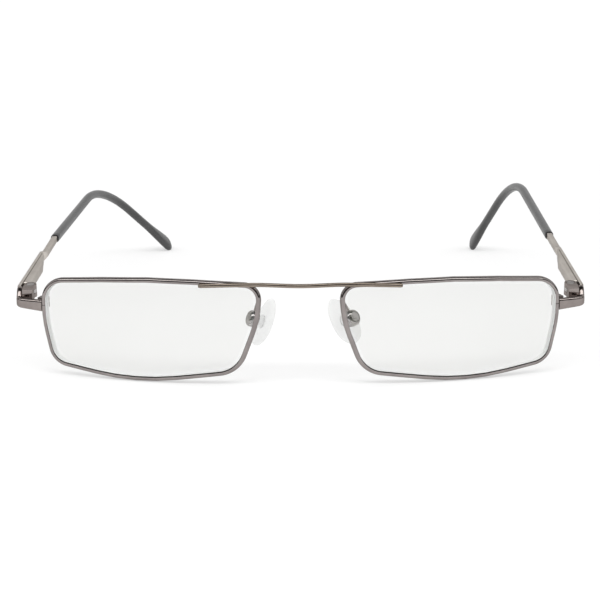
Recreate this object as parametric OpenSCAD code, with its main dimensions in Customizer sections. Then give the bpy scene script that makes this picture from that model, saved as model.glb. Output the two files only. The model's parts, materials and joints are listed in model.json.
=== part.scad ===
// Full-rim metal reading glasses with spring hinges and silicone nose pads.
// X runs to the wearer's left as seen from the front, Y runs back along the temples, Z runs up.
// The glasses stand open on a table, on the lowest points of both rims and both temple tips.

/* [Rims] */
// Clear distance between the two rims at the nose
rim_gap = 18.2; // [14:0.5:24]
// Width of one rim, outer edge to outer edge
rim_w = 53.6; // [44:0.2:60]
// Height from the rim's lowest corner to its crown, before the corners are rounded
rim_h = 26.3; // [20:0.1:40]
// How far the upper nose corner lies under the crown
nose_drop = 0.9; // [0:0.1:3]
// How far the upper temple corner lies under the crown
temple_drop = 2; // [0:0.1:4]
// How far the lower nose corner is drawn in from the upper one
nose_toe = 5.4; // [0:0.1:9]
// How far the lower temple corner is drawn in from the upper one
temple_toe = 2.4; // [0:0.1:6]
// Height of the two lower corners over the lowest one
foot_rise = 3.4; // [1:0.1:6]
// Height of the slight bend in the rim's nose side
nose_belt = 16.6; // [12:0.1:20]
// Height of the slight bend in the rim's temple side
temple_belt = 14; // [8:0.1:16]
// Radius of the upper nose corner
nose_top_r = 4.2; // [1.5:0.1:6]
// Radius of the upper temple corner
temple_top_r = 6; // [2:0.1:8]
// Radius of the lower nose corner
nose_foot_r = 7.8; // [3:0.1:12]
// Radius of the lower temple corner
temple_foot_r = 5.3; // [3:0.1:9]
// Width of the rim wire, seen from the front
wire_w = 1.15; // [0.9:0.05:2]
// Depth of the rim wire, front to back
wire_d = 1.9; // [1.5:0.1:3]
// Depth of the groove that holds the lens
groove_deep = 0.55; // [0.3:0.05:0.8]
// Width of the groove at its mouth
groove_wide = 1; // [0.6:0.1:1.4]
// Radius that the whole front is bent to, seen from above
front_r = 180; // [120:5:400]
// Angle that the front leans back when the glasses stand on a table
front_lean = 4; // [0:0.5:8]
// Opening where the rim is split behind the endpiece
split_gap = 0.12; // [0.1:0.01:0.6]
// Height of that split over the rim's lowest corner
split_up = 17.6; // [15:0.1:21]

/* [Lenses] */
// Thickness of the lens at its edge
lens_edge = 1.9; // [1.4:0.1:3]
// How far the front surface is domed
front_dome = 0.9; // [0:0.1:3]
// How far the back surface is hollowed
back_dome = 0.4; // [0:0.1:3]
// Gap between the lens and the rim
lens_clear = 0.03; // [0.02:0.01:0.1]

/* [Bridge] */
// Length of the bridge bar
bridge_w = 48.2; // [30:0.2:60]
// Height of the bridge bar
bridge_h = 1; // [0.8:0.05:2]
// Depth of the bridge bar
bridge_d = 1; // [0.8:0.05:2]
// How far the middle of the bar's ends lies under the rims' highest level
bridge_under = 1.55; // [0.5:0.05:3]
// How far the bar rises from its ends towards the middle
bridge_rise = 0.7; // [0:0.1:2]
// How far it dips again between the rims
bridge_dip = 0.25; // [0:0.05:1]
// How far the bar bows forward in the middle
bridge_bow = 0.5; // [0:0.1:3]

/* [Endpieces] */
// Height of the endpiece beside the rim
endpiece_h = 2.9; // [2:0.1:4]
// Thickness of the endpiece
endpiece_t = 1.4; // [1:0.1:2]
// Length of the endpiece outside the rim
endpiece_w = 6.5; // [5:0.1:9]
// Height of its middle beside the rim
endpiece_z = 16.5; // [14:0.1:19]
// Bend radius of its corner, at mid thickness
endpiece_r = 2; // [1.2:0.1:3]
// How much the underside rises towards the corner
endpiece_rise = 0.45; // [0:0.05:1]

/* [Closing blocks] */
// Width of the two blocks that close the rim
block_w = 2.2; // [1.8:0.1:3]
// Depth of the two blocks
block_d = 2; // [1.6:0.1:3]
// Height of each block
block_h = 1.25; // [1:0.05:2]
// Radius of the rim lock screw
lock_r = 0.45; // [0.3:0.05:0.6]
// Radius of its head
lock_head_r = 0.8; // [0.6:0.05:1]
// Height of its head
lock_head_h = 0.4; // [0.2:0.05:0.8]

/* [Hinges] */
// Distance of the hinge axis from the middle of the glasses
hinge_x = 66.7; // [64:0.05:72]
// How far the hinge axis lies behind the rims' lowest points
hinge_back = 15.6; // [13:0.1:20]
// Height of the hinge's middle over the rims' lowest points
hinge_up = 18.4; // [16:0.1:22]
// Radius of the hinge knuckles
knuckle_r = 1.5; // [1.2:0.05:2]
// Height of the whole hinge
hinge_h = 3.2; // [2.6:0.1:4]
// Height of the slider's eye between the two knuckles
eye_h = 1; // [0.8:0.1:1.4]
// Radius of the hinge screw
pin_r = 0.6; // [0.4:0.05:0.8]
// Radius of the hinge screw's head
pin_head_r = 1; // [0.8:0.05:1.2]
// Height of the hinge screw's head
pin_head_h = 0.45; // [0.2:0.05:0.8]
// Running clearance round the hinge screw
pin_clear = 0.05; // [0.02:0.01:0.1]
// Gap between parts that move past each other
run_gap = 0.1; // [0.06:0.01:0.2]

/* [Spring boxes] */
// Length of the spring box and its tail
box_len = 24; // [18:0.5:30]
// Length of the box before its tail begins
box_body = 15.5; // [12:0.5:20]
// Half height of the spring box
box_half_h = 1.35; // [1.2:0.05:1.6]
// Thickness of the spring box
box_t = 1.75; // [1.6:0.05:2.2]
// Radius of the bore that holds the spring
bore_r = 0.62; // [0.55:0.01:0.75]
// Depth of that bore
bore_len = 10.6; // [8:0.1:14]
// Length of the slider's neck inside the box
neck_in = 1; // [0.8:0.1:2]
// Half width of the slider's neck
neck_half_w = 0.42; // [0.3:0.01:0.45]
// Half height of the slider's neck
neck_half_h = 0.4; // [0.3:0.01:0.45]
// Radius of the slider's rod
rod_r = 0.26; // [0.2:0.01:0.35]
// Length of the collar that the spring pushes on
collar_len = 1.2; // [0.8:0.1:2]
// Length of the spring at rest
spring_len = 6; // [4:0.1:8]
// Radius of the spring, to the middle of its wire
spring_r = 0.43; // [0.38:0.01:0.5]
// Radius of the spring's wire
spring_wire_r = 0.09; // [0.06:0.01:0.1]
// Turns of the spring
spring_turns = 10; // [5:1:14]
// Radius of the nut on the end of the rod
nut_r = 0.53; // [0.45:0.01:0.6]
// Length of that nut
nut_len = 0.8; // [0.5:0.1:1.2]

/* [Temples] */
// Thickness of the temple's blade
blade_t = 0.8; // [0.7:0.05:1.2]
// Height of the blade at its front
blade_h = 3.2; // [2.8:0.1:4.5]
// Height of the blade at its rear end
blade_end_h = 2.9; // [2:0.1:4]
// Distance from the hinge axis to the rear end of the blade
blade_len = 26; // [22:0.5:34]
// Length of the step from the blade to the bar
blade_step = 3; // [1:0.5:6]
// Thickness of the bar behind the blade
bar_t = 1.5; // [0.8:0.05:1.6]
// Height of the bar
bar_h = 1.8; // [1.3:0.05:2]
// Distance from the hinge axis to where the temple bends down, left and right in the picture
bend_start = [81, 78.7]; // [70:1:100]
// Radius of that bend
bend_r = 33; // [15:1:45]
// Angle of that bend
bend_angle = 52.7; // [30:0.1:60]
// Straight length after the bend
tip_len = 23.5; // [15:0.5:35]
// Inward turn of the two temples, left and right in the picture
temple_yaw = [2.9, 2.9]; // [0:0.1:8]
// How far the bar is set in from the blade, left and right in the picture
bar_in = [0.5, 0.1]; // [0:0.1:1.2]
// Further inward turn where the sleeves begin, left and right in the picture
temple_kink = [3.2, -0.2]; // [-4:0.1:4]
// Inward lean of the two bent ends, left and right in the picture
tip_lean = [31, 15.6]; // [0:0.5:40]

/* [Temple tips] */
// Length of the sleeve along its bent middle line
sleeve_len = 92.9; // [70:0.5:100]
// Diameter of the sleeve at its front
sleeve_d = 2.3; // [2.1:0.1:3.5]
// Width of the flattened end
paddle_w = 5.4; // [3:0.1:6]
// Thickness of the flattened end
paddle_t = 2.4; // [2:0.1:4]
// Length of the core's free space to the end of the sleeve
core_short = 9; // [5:1:20]
// Gap between the core and the sleeve
core_clear = 0.03; // [0.02:0.01:0.1]

/* [Nose pads] */
// Distance of the pad's middle from the middle of the glasses, left and right in the picture
pad_x = [8.9, 10.4]; // [8:0.1:12]
// How far the pad's middle lies behind the rims' lowest points, left and right in the picture
pad_back = [6.1, 5.3]; // [5:0.1:10]
// Height of the pad's middle, left and right in the picture
pad_z = [12.7, 13.1]; // [10:0.1:15]
// Length of the pad
pad_len = 12.4; // [9:0.1:16]
// Width of the pad
pad_w = 7.6; // [5:0.1:9]
// Thickness of the pad
pad_t = 2.6; // [2:0.1:4]
// Angle that the pads open towards the face, left and right in the picture
pad_splay = [18, 39]; // [10:1:45]
// Angle that the pads lean together at the top, left and right in the picture
pad_frontal = [22, 32]; // [5:1:40]
// Radius of the pad cup
cup_r = 2; // [1.8:0.05:2.4]
// Wall of the pad cup
cup_wall = 0.5; // [0.3:0.05:0.8]
// Depth of the pad cup
cup_len = 2.3; // [1.8:0.1:3]
// Gap between the pad and its cup, left and right in the picture
cup_gap = [1.2, 1.2]; // [0.35:0.05:1.8]
// Radius of the pad's round foot
foot_r = 1.6; // [1.2:0.1:2]
// Thickness of the pad's round foot
foot_t = 0.45; // [0.3:0.05:0.8]
// Radius of the eye on the pad's foot
lug_r = 0.7; // [0.6:0.05:0.9]
// Width of the eye on the pad's foot
lug_w = 2.2; // [1.4:0.1:2.4]
// Radius of the pad screw
pad_screw_r = 0.3; // [0.2:0.05:0.4]
// Radius of the pad arm's wire
arm_r = 0.45; // [0.3:0.05:0.7]

/* [Hidden] */

gunmetal = [0.58, 0.56, 0.55];
bronze = [0.60, 0.54, 0.47];
steel = [0.72, 0.72, 0.73];
clear_lens = [0.93, 0.95, 0.94, 0.35];
silicone = [0.90, 0.92, 0.90, 0.6];
charcoal = [0.22, 0.22, 0.23];

fine = 48;
corner_step = 15;
longest_step = 3.4;
seat = 0.02;
past = 1;
LEFT = 0;
RIGHT = 1;

function unit(v) = v / norm(v);
function mix(a, b, t) = a + (b - a) * t;
function ease(t) = t <= 0 ? 0 : t >= 1 ? 1 : t * t * (3 - 2 * t);

// Points of the arc that rounds corner p between its neighbours a and b, starting no further off than room.
function corner(a, p, b, wanted, room) =
    let (
        u = unit(a - p),
        v = unit(b - p),
        half = acos(u * v) / 2,
        r = min(wanted, room * tan(half)),
        start = p + u * r / tan(half),
        middle = p + unit(u + v) * r / sin(half),
        way = cross(v, u) > 0 ? 1 : -1,
        turn = 180 - 2 * half,
        from = atan2(start.y - middle.y, start.x - middle.x),
        n = max(1, ceil(turn / corner_step))
    )
    [for (i = [0:n]) middle + r * [cos(from + way * turn * i / n), sin(from + way * turn * i / n)]];

// A path through corners given as [x, y, radius], with a radius of 0 at both ends.
// An arc may take up this share of a side between two corners, or of a first or last side.
inner_share = 0.48;
end_share = 0.95;
function flat(c) = [c.x, c.y];
function rounded(c) =
    let (last = len(c) - 1)
    [
        flat(c[0]),
        for (i = [1:last - 1])
            let (
                before = norm(flat(c[i] - c[i - 1])) * (i == 1 ? end_share : inner_share),
                after = norm(flat(c[i + 1] - c[i])) * (i == last - 1 ? end_share : inner_share)
            )
            each corner(flat(c[i - 1]), flat(c[i]), flat(c[i + 1]), c[i].z, min(before, after)),
        flat(c[last])
    ];

// The same path with no step longer than the given one.
function stepped(path, longest) = [
    for (i = [0:len(path) - 2])
        let (n = max(1, ceil(norm(path[i + 1] - path[i]) / longest)))
        for (k = [0:n - 1]) mix(path[i], path[i + 1], k / n),
    path[len(path) - 1]
];

// Tangent of a path at point i.
function heading(path, i) = unit(path[min(i + 1, len(path) - 1)] - path[max(i - 1, 0)]);

// A section set square to a path at point i, its y axis as upright as the path allows.
function ring_at(path, i, shape) =
    let (
        along = heading(path, i),
        right = unit(cross(along, [0, 0, 1])),
        up = cross(right, along)
    )
    [for (q = shape) path[i] + q.x * right + q.y * up];

// Triangles between rings of n points, from the ring that starts at index from to the next ones.
function band_faces(rings, n, from) = [
    for (i = [0:rings - 2], j = [0:n - 1])
        let (a = from + i * n + j, b = from + i * n + (j + 1) % n)
        each [[a, b, a + n], [b, b + n, a + n]]
];

// A closed skin over rings of equal length, with flat ends.
module skin(rings) {
    n = len(rings[0]);
    m = len(rings);
    polyhedron(
        points = [for (r = rings) each r],
        faces = concat(
            [[for (j = [n - 1:-1:0]) j]],
            band_faces(m, n, 0),
            [[for (j = [0:n - 1]) (m - 1) * n + j]]
        ),
        convexity = 6
    );
}

// A closed skin over rings whose two ends close at a point.
module pointed_skin(first, rings, last) {
    n = len(rings[0]);
    m = len(rings);
    end = m * n + 1;
    polyhedron(
        points = [first, for (r = rings) each r, last],
        faces = concat(
            [for (j = [0:n - 1]) [0, 1 + (j + 1) % n, 1 + j]],
            band_faces(m, n, 1),
            [for (j = [0:n - 1]) [end, end - n + j, end - n + (j + 1) % n]]
        ),
        convexity = 6
    );
}

// Half widths of a rounded rectangle, twelve points with corners cut by c.
cut_share = 0.3;
function soft_box(a, b, c) =
    let (k = c * cut_share)
    [
        [a, b - c], [a - k, b - k], [a - c, b], [c - a, b], [k - a, b - k], [-a, b - c],
        [-a, c - b], [k - a, k - b], [c - a, -b], [a - c, -b], [a - k, k - b], [a, c - b]
    ];

// Oval of twelve points with half sizes a and b, fuller than an ellipse.
oval_power = 0.85;
function full(v) = sign(v) * pow(abs(v), oval_power);
function oval(a, b) = [for (i = [0:11]) [a * full(cos(15 + 30 * i)), b * full(sin(15 + 30 * i))]];

// The curved front that rims and lenses follow, measured at the middle of the wire.
rim_inner_x = rim_gap / 2;
rim_outer_x = rim_inner_x + rim_w;
low_x = mix(rim_inner_x, rim_outer_x, 0.57);
crown_x = mix(rim_inner_x, rim_outer_x, 0.51);
belt_in = 0.4;
crown_r = 200;
belt_r = 30;
keel_r = 100;

function front_y(x, z) = (x * x - low_x * low_x) / (2 * front_r) + z * tan(front_lean);
function front_back(x) = unit([-x / front_r, 1, -tan(front_lean)]);

// Outer edge of the rim, from the split up and round to the split again, over its lowest corner.
raw_outline = stepped(rounded([
    [rim_outer_x, split_up + split_gap / 2, 0],
    [rim_outer_x, rim_h - temple_drop, temple_top_r],
    [crown_x, rim_h, crown_r],
    [rim_inner_x, rim_h - nose_drop, nose_top_r],
    [rim_inner_x + belt_in, nose_belt, belt_r],
    [rim_inner_x + nose_toe, foot_rise, nose_foot_r],
    [low_x, 0, keel_r],
    [rim_outer_x - temple_toe, foot_rise, temple_foot_r],
    [rim_outer_x, temple_belt, belt_r],
    [rim_outer_x, split_up - split_gap / 2, 0]
]), longest_step);
keel_z = min([for (p = raw_outline) p.y]);
crown_z = rim_h - keel_z;
split_z = split_up - keel_z;
rim_outline = [for (p = raw_outline) [p.x, p.y - keel_z]];
rim_path = [for (p = rim_outline) [p.x, front_y(p.x, p.y), p.y]];
stations = len(rim_path);

function rim_inward(i) = unit(cross(heading(rim_path, i), front_back(rim_path[i].x)));
function rim_back(i) = cross(rim_inward(i), heading(rim_path, i));

// A point at station i, n inward from the outer edge and b behind the middle of the wire.
function rim_point(i, n, b) = rim_path[i] + n * rim_inward(i) + b * rim_back(i);

half_d = wire_d / 2;
groove_half = groove_wide / 2;
wire_profile = [
    [0, -half_d * 0.35], [wire_w * 0.12, -half_d * 0.78], [wire_w * 0.45, -half_d],
    [wire_w, -half_d], [wire_w, -groove_half], [wire_w - groove_deep, 0],
    [wire_w, groove_half], [wire_w, half_d], [wire_w * 0.45, half_d],
    [wire_w * 0.12, half_d * 0.78], [0, half_d * 0.35]
];
rim_rings = [for (i = [0:stations - 1]) [for (q = wire_profile) rim_point(i, q.x, q.y)]];
lift = -min([for (r = rim_rings) for (p = r) p.z]);

// The lens edge: its bevel sits in the groove with an even gap all round.
shoulder_in = wire_w + lens_clear;
bevel_in = wire_w - groove_deep + lens_clear * norm([1, groove_deep / groove_half]);
bevel_half = (shoulder_in - bevel_in) * groove_half / groove_deep;
lens_front = -lens_edge * 0.42;
lens_rear = lens_edge * 0.58;
lens_centre_x = mix(rim_inner_x, rim_outer_x, 0.53);
lens_centre_z = crown_z * 0.48;
lens_shares = [0.3, 0.6, 0.85];

// A point of the lens surface at share k of the way from the middle to shoulder point p.
function lens_point(p, k, dome) =
    let (x = mix(lens_centre_x, p.x, k), z = mix(lens_centre_z, p.z, k))
    [x, front_y(x, z) + p.y - front_y(p.x, p.z) - dome * (1 - k * k), z];
function lens_ring(k, b, dome) =
    [for (i = [0:stations - 1]) lens_point(rim_point(i, shoulder_in, b), k, dome)];
function edge_ring(n, b) = [for (i = [0:stations - 1]) rim_point(i, n, b)];
function lens_middle(b, dome) =
    [lens_centre_x, front_y(lens_centre_x, lens_centre_z) + b - dome, lens_centre_z];

// The bridge bar lies on the front of both rims and rises over their tops towards the nose.
bridge_up = crown_z - bridge_under;
bridge_steps = 26;
bridge_round = 0.25;
function bridge_point(x) =
    let (
        far = abs(2 * x / bridge_w),
        free = 1 - ease(abs(x) / (rim_inner_x + 2 * wire_w)),
        z = bridge_up + bridge_rise * (1 - far * far) - bridge_dip * free
    )
    [x, front_y(x, z) - (half_d + bridge_d / 2) / cos(front_lean) - seat * 2 - bridge_bow * free, z];
bridge_path =
    [for (i = [0:bridge_steps]) bridge_point(mix(-bridge_w / 2, bridge_w / 2, i / bridge_steps))];
bridge_section = soft_box(bridge_d / 2, bridge_h / 2, bridge_round);
bridge_rings = [for (i = [0:bridge_steps]) ring_at(bridge_path, i, bridge_section)];

// Hinge frame: its origin is on the screw's axis at mid height, X points outward, Y back along the
// temple and Z up the screw. The blade's outer side is flush with the outside of the endpiece's leg.
leg_clear = 0.05;
leg_in = knuckle_r + leg_clear;
leg_mid = leg_in + endpiece_t / 2;
blade_out = leg_in + endpiece_t;
blade_mid = blade_out - blade_t / 2;
blade_in = blade_out - blade_t;
blade_front = -knuckle_r;
leg_rear = blade_front - run_gap;
box_out = blade_in - seat;
box_in = box_out - box_t;
rod_x = (box_in + box_out) / 2;
box_front = knuckle_r + run_gap * 1.5;
eye_gap = 0.04;
knuckle_from = eye_h / 2 + eye_gap;

// The temple's centre line at distance s from the hinge, and how far it has bent there.
bend_len = bend_r * bend_angle * PI / 180;
function arm_end(side) = bend_start[side] + bend_len + tip_len;
sleeve_start = [for (side = [LEFT, RIGHT]) arm_end(side) - sleeve_len];
function bend_at(s, side) = min(max(s - bend_start[side], 0) / bend_r * 180 / PI, bend_angle);
function drop_dir(lean) = [-sin(lean), 0, -cos(lean)];
function arm_point(s, side) =
    let (
        a = bend_at(s, side),
        rest = max(s - bend_start[side] - bend_len, 0),
        back = min(s, bend_start[side]) + bend_r * sin(a) + rest * cos(a),
        drop = bend_r * (1 - cos(a)) + rest * sin(a),
        inward = bar_in[side] * ease((s - blade_len) / blade_step)
            + tan(temple_kink[side]) * max(back - sleeve_start[side], 0)
    )
    [blade_mid - inward, back, 0] + drop * drop_dir(tip_lean[side]);
function twist_at(s, side) =
    tip_lean[side] * ease((s - sleeve_start[side]) / (bend_start[side] - sleeve_start[side]));
function arm_ring(s, side, shape) =
    let (
        a = bend_at(s, side),
        r = twist_at(s, side),
        across = [cos(r), 0, -sin(r)],
        up = [0, sin(a), 0] - cos(a) * drop_dir(r)
    )
    [for (q = shape) arm_point(s, side) + q.x * across + q.y * up];

// Places along the sleeved part, from its front to the end of the metal core.
twist_steps = 5;
bend_steps = 9;
tail_steps = 2;
function core_end(side) = arm_end(side) - core_short;
function sleeved(side) = [
    for (i = [0:twist_steps - 1]) mix(sleeve_start[side], bend_start[side], i / twist_steps),
    for (i = [0:bend_steps]) bend_start[side] + bend_len * i / bend_steps,
    for (i = [1:tail_steps]) mix(bend_start[side] + bend_len, core_end(side), i / tail_steps)
];

core_under = 0.2;
core_t = blade_t - core_under;
core_h = 2 * core_t;
edge_cut = 0.2;
step_places = 3;
function blade_section(s) =
    let (
        k = ease((s - blade_len) / blade_step),
        height = s <= blade_len ? mix(blade_h, blade_end_h, max(s, 0) / blade_len) : mix(blade_end_h, bar_h, k)
    )
    soft_box(mix(blade_t, bar_t, k) / 2, height / 2, edge_cut);
function blade_places(side) = [
    blade_front, blade_len / 3, blade_len * 2 / 3, blade_len,
    for (i = [1:step_places]) blade_len + blade_step * i / step_places,
    sleeve_start[side] - seat
];
function temple_rings(side) = [
    for (s = blade_places(side)) arm_ring(s, side, blade_section(s)),
    for (s = sleeved(side)) arm_ring(s, side, soft_box(core_t / 2, core_h / 2, edge_cut))
];

// The sleeve swells to its flattened end, which closes in a round nose.
nose_steps = 4;
nose_len = paddle_w * 0.45;
lip = 0.93;
lip_len = 0.45;
end_places = 3;
function swell(s, side) =
    let (from = arm_end(side) - tip_len * 0.62, to = arm_end(side) - tip_len * 0.1)
    ease((s - from) / (to - from));
function sleeve_shape(s, side, share) =
    let (k = swell(s, side))
    oval(mix(sleeve_d, paddle_t, k) / 2 * share, mix(sleeve_d, paddle_w, k) / 2 * share);
core_hole = soft_box(core_t / 2 + core_clear, core_h / 2 + core_clear, edge_cut);
function bore_places(side) = concat(sleeved(side), [core_end(side) + core_clear * 2]);
function outer_places(side) =
    let (inner = sleeved(side), nose_from = arm_end(side) - nose_len)
    concat(
        [sleeve_start[side], sleeve_start[side] + lip_len],
        [for (i = [1:len(inner) - 1]) inner[i]],
        [for (i = [1:end_places]) mix(core_end(side), nose_from, i / end_places)]
    );
function nose_ring(side, i) =
    let (t = 90 * i / (nose_steps + 0.5), end = arm_end(side))
    arm_ring(end - nose_len + nose_len * sin(t), side, sleeve_shape(end, side, cos(t)));
function sleeve_rings(side) =
    let (holes = bore_places(side), start = sleeve_start[side])
    [
        for (i = [len(holes) - 1:-1:0]) arm_ring(holes[i], side, core_hole),
        for (s = outer_places(side)) arm_ring(s, side, sleeve_shape(s, side, s == start ? lip : 1)),
        for (i = [1:nose_steps]) nose_ring(side, i)
    ];

// Each temple is tilted about its hinge until its tip stands on the same table as the rims.
function tip_points(side) = [
    for (s = outer_places(side)) if (s > bend_start[side]) each arm_ring(s, side, sleeve_shape(s, side, 1)),
    for (i = [1:nose_steps]) each nose_ring(side, i)
];
function turned_back(p, yaw) = p.x * sin(yaw) + p.y * cos(yaw);
function tip_height(points, yaw, pitch) =
    hinge_up + lift + min([for (p = points) turned_back(p, yaw) * sin(pitch) + p.z * cos(pitch)]);
function settled(points, yaw, low, high, left) =
    let (middle = (low + high) / 2)
    left == 0 ? middle
    : tip_height(points, yaw, middle) > 0 ? settled(points, yaw, low, middle, left - 1)
    : settled(points, yaw, middle, high, left - 1);
tips = [for (side = [LEFT, RIGHT]) tip_points(side)];
pitch = [for (side = [LEFT, RIGHT]) settled(tips[side], temple_yaw[side], -10, 25, 30)];

// From a side's hinge frame to the frame of the front.
function placed(side, p) =
    let (
        x = p.x * cos(temple_yaw[side]) - p.y * sin(temple_yaw[side]),
        y = turned_back(p, temple_yaw[side])
    )
    [
        hinge_x + x,
        hinge_back + y * cos(pitch[side]) - p.z * sin(pitch[side]),
        hinge_up + y * sin(pitch[side]) + p.z * cos(pitch[side])
    ];

// The origin lies midway between the front of the bridge and the end of the longer temple.
rear_y = max([for (side = [LEFT, RIGHT]) for (p = tips[side]) placed(side, p).y]);
front_edge_y = min([for (r = concat(bridge_rings, rim_rings)) for (p = r) p.y]);
middle_y = (rear_y + front_edge_y) / 2;

module standing() translate([0, -middle_y, lift]) children();
module on_side(side) standing() mirror([side == LEFT ? 1 : 0, 0, 0]) children();
module at_hinge(side)
    on_side(side)
    translate([hinge_x, hinge_back, hinge_up])
    rotate([pitch[side], 0, 0])
    rotate([0, 0, temple_yaw[side]])
    children();

// Frame of the rim's split: X runs outward along the front, Y back, Z up.
split_turn = atan(rim_outer_x / front_r);
split_at = [rim_outer_x, front_y(rim_outer_x, split_z), split_z];
module at_split(side) on_side(side) translate(split_at) rotate([0, 0, split_turn]) children();

// A rod along Y between two places.
module rod_y(r, from, to) translate([0, from, 0]) rotate([-90, 0, 0]) cylinder(r = r, h = to - from, $fn = fine);

// A rod along Z between two places.
module rod_z(r, from, to) translate([0, 0, from]) cylinder(r = r, h = to - from, $fn = fine);

// A box given by its two corners.
module block(from, to) translate(from) cube(to - from);

module rim(side) color(gunmetal) on_side(side) skin(rim_rings);

module lens(side)
    color(clear_lens)
    on_side(side)
    pointed_skin(
        lens_middle(lens_rear, back_dome),
        concat(
            [for (k = lens_shares) lens_ring(k, lens_rear, back_dome)],
            [
                edge_ring(shoulder_in, lens_rear),
                edge_ring(shoulder_in, bevel_half),
                edge_ring(bevel_in, 0),
                edge_ring(shoulder_in, -bevel_half),
                edge_ring(shoulder_in, lens_front)
            ],
            [for (i = [len(lens_shares) - 1:-1:0]) lens_ring(lens_shares[i], lens_front, front_dome)]
        ),
        lens_middle(lens_front, front_dome)
    );

module bridge_bar() color(bronze) standing() skin(bridge_rings);

// The two halves of the rim's closing block, one over and one under the split.
block_from = [-wire_w * 0.3, half_d + seat + (block_h + split_gap) * tan(front_lean), split_gap / 2];
block_size = [block_w, block_d, block_h];
lock_at = block_from + [block_w / 2, block_d / 2, 0];
module closing_block_upper(side)
    color(gunmetal)
    at_split(side)
    difference() {
        translate(block_from) cube(block_size);
        translate(lock_at) rod_z(lock_r + seat, -past, block_h + past);
        translate(lock_at) rod_z(lock_head_r + seat, block_h - lock_head_h - seat, block_h + past);
    }

module closing_block_lower(side)
    color(gunmetal)
    at_split(side)
    difference() {
        translate(block_from - [0, 0, split_gap + block_h]) cube(block_size);
        translate(lock_at) rod_z(lock_r + seat, -split_gap - block_h - past, past);
    }

slot_w = 0.22;
slot_deep = 0.2;
module rim_lock_screw(side)
    color(steel)
    at_split(side)
    translate(lock_at)
    difference() {
        union() {
            rod_z(lock_r, -split_gap - block_h, block_h - lock_head_h);
            rod_z(lock_head_r, block_h - lock_head_h, block_h);
        }
        translate([0, 0, block_h]) cube([3 * lock_head_r, slot_w, 2 * slot_deep], center = true);
    }

// The endpiece runs out from the rim, turns back round a corner and rises to the hinge.
out_dir = [cos(split_turn), sin(split_turn)];
back_dir = [-sin(split_turn), cos(split_turn)];
plate_start =
    [rim_outer_x, front_y(rim_outer_x, split_z)] + seat * 4 * out_dir
    + (half_d - endpiece_t / 2) * back_dir;
plate_corner = plate_start + endpiece_w * out_dir;
leg_h = hinge_h - 0.1;
endpiece_cut = 0.35;
rise_steps = 4;
function leg_end(side) = placed(side, [leg_mid, leg_rear, 0]);
function endpiece_plan(side) =
    let (
        e = leg_end(side),
        bent = corner(plate_start, plate_corner, flat(e), endpiece_r, endpiece_w * inner_share),
        last = bent[len(bent) - 1]
    )
    [
        for (k = [0, 0.5]) mix(plate_start, bent[0], k),
        each bent,
        for (i = [1:rise_steps]) mix(last, flat(e), i / rise_steps)
    ];
function endpiece_rings(side) =
    let (
        plan = endpiece_plan(side),
        e = leg_end(side),
        corner_y = plan[len(plan) - 1 - rise_steps].y,
        up = [for (p = plan) ease((p.y - corner_y) / (e.y - corner_y))],
        out = [for (p = plan) min(max((p.x - plate_start.x) / (plate_corner.x - plate_start.x), 0), 1)],
        path = [
            for (i = [0:len(plan) - 1])
                [plan[i].x, plan[i].y, mix(endpiece_z + endpiece_rise / 2 * out[i], e.z, up[i])]
        ],
        half = [for (i = [0:len(plan) - 1]) mix(endpiece_h - endpiece_rise * out[i], leg_h, up[i]) / 2]
    )
    [
        for (i = [0:len(path) - 2])
            ring_at(path, i, soft_box(endpiece_t / 2, half[i], endpiece_cut)),
        [for (q = soft_box(endpiece_t / 2, leg_h / 2, endpiece_cut)) placed(side, [leg_mid + q.x, leg_rear, q.y])]
    ];
module endpiece(side) color(gunmetal) on_side(side) skin(endpiece_rings(side));

// Two knuckles on a foot that is soldered to the inside of the endpiece's leg.
foot_long = 2.6;
knuckle_flank = 1.2;
foot_from = leg_rear - foot_long;
function turned_out(side, p) =
    let (x = p.x - hinge_x, y = (p.y - hinge_back) / cos(pitch[side]), a = temple_yaw[side])
    [x * cos(a) + y * sin(a), y * cos(a) - x * sin(a)];
function leg_inside(side, y) =
    let (
        plan = endpiece_plan(side),
        a = turned_out(side, plan[len(plan) - 1 - rise_steps]),
        b = turned_out(side, plan[len(plan) - 1])
    )
    mix(a.x, b.x, (y - a.y) / (b.y - a.y)) - endpiece_t / 2 - 2 * seat;
module foot_plan(side)
    polygon([
        [-knuckle_flank, foot_from],
        [leg_inside(side, foot_from), foot_from],
        [leg_inside(side, leg_rear), leg_rear],
        [-knuckle_flank, leg_rear]
    ]);
module knuckle_plan(side) {
    circle(r = knuckle_r, $fn = fine);
    polygon([
        [-knuckle_flank, foot_from],
        [leg_inside(side, foot_from), foot_from],
        [leg_inside(side, leg_rear), leg_rear],
        [knuckle_flank, 0],
        [-knuckle_flank, 0]
    ]);
}
module frame_hinge(side)
    color(gunmetal)
    at_hinge(side)
    difference() {
        union() {
            for (z = [knuckle_from, -hinge_h / 2])
                translate([0, 0, z])
                    linear_extrude(hinge_h / 2 - knuckle_from)
                        knuckle_plan(side);
            translate([0, 0, -hinge_h / 2])
                linear_extrude(hinge_h)
                    foot_plan(side);
        }
        rod_z(pin_r + pin_clear, -hinge_h, hinge_h);
        rod_z(pin_head_r + pin_clear, hinge_h / 2 - pin_head_h - eye_gap, hinge_h);
    }

module hinge_screw(side)
    color(steel)
    at_hinge(side)
    difference() {
        union() {
            rod_z(pin_r, -hinge_h / 2, hinge_h / 2 - pin_head_h);
            rod_z(pin_head_r, hinge_h / 2 - pin_head_h, hinge_h / 2);
        }
        translate([0, 0, hinge_h / 2]) cube([3 * pin_head_r, slot_w, 2 * slot_deep], center = true);
    }

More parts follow.
